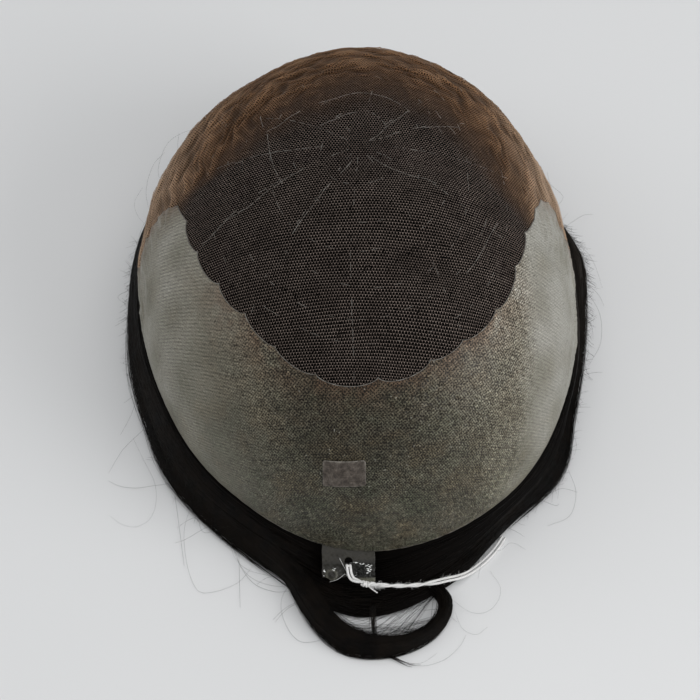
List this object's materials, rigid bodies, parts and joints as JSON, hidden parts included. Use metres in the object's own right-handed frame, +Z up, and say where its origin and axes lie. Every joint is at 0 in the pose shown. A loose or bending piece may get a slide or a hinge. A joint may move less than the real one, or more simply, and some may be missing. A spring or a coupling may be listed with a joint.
{
  "type": "lace front toupee",
  "caption": "Domed hair piece lying inside out: lace crown and front, scalloped clear film band round the back and sides, punched nape tab, hair lining, hair skirt and a looped lock.",
  "frame": {"origin": "on the table, under the middle of the object's plan box, tie thread left out", "axes": "+Z up from the table; +Y from the nape and its tab towards the front hairline; +X to the right seen from behind the nape"},
  "size_m": [0.1696, 0.2342, 0.0975],
  "materials": {
    "lace": "matte open net",
    "film": "satin coated film",
    "tab_film": "glossy clear film",
    "sticker": "matte",
    "hair": "smooth dark hair",
    "thread": "white cotton"
  },
  "bodies": {
    "root": {"lace_cap": "lace", "poly_perimeter": "film", "poly_tab": "tab_film", "label_patch": "sticker", "hair_body": "hair", "hair_lock": "hair", "tie_cord_a": "thread", "tie_cord_b": "thread", "tie_loop_a": "thread", "tie_loop_b": "thread", "tie_knot": "thread", "tie_stop": "thread"}
  },
  "joints": []
}
